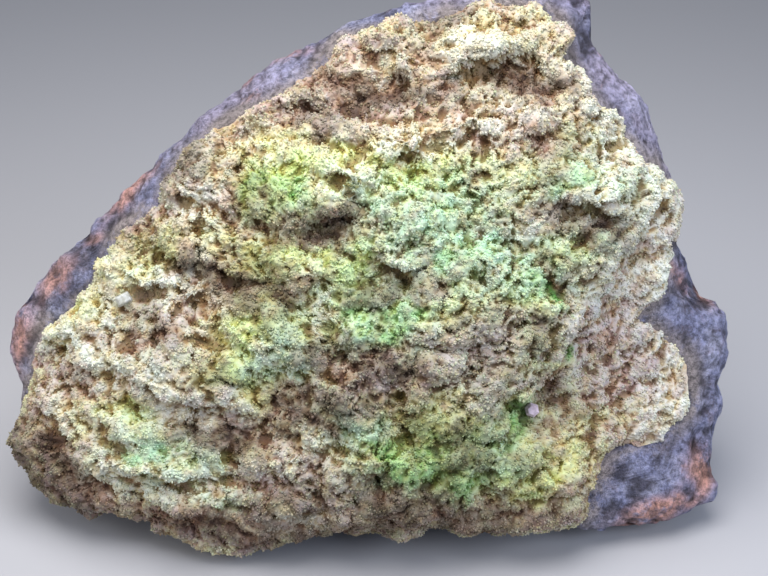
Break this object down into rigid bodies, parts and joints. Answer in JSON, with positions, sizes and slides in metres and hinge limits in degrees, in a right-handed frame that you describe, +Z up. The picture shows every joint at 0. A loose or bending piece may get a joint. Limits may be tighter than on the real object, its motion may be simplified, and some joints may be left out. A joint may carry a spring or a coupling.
{
  "type": "pyromorphite specimen",
  "caption": "Broken block of dark iron-stained rock standing on its flat foot, its leaning front covered by a thick spongy crust of small green and ochre pyromorphite crystals",
  "frame": {"origin": "The middle of the specimen's footprint box, on the surface it rests on", "axes": "+X to the specimen's right as seen from its crusted front, +Z up, and the crusted front leans back and faces -Y"},
  "size_m": [0.1938, 0.0918, 0.1373],
  "materials": {
    "dark_rock": "rough broken rock with rust stains",
    "pyromorphite": "sugary crust of small crystals, waxy on the tips",
    "lilac": "translucent lilac crystal",
    "white_mineral": "translucent bluish white grain"
  },
  "bodies": {
    "root": {"matrix": "dark_rock", "pyromorphite_crust": "pyromorphite", "lilac_crystal": "lilac", "white_grain": "white_mineral"}
  },
  "joints": []
}
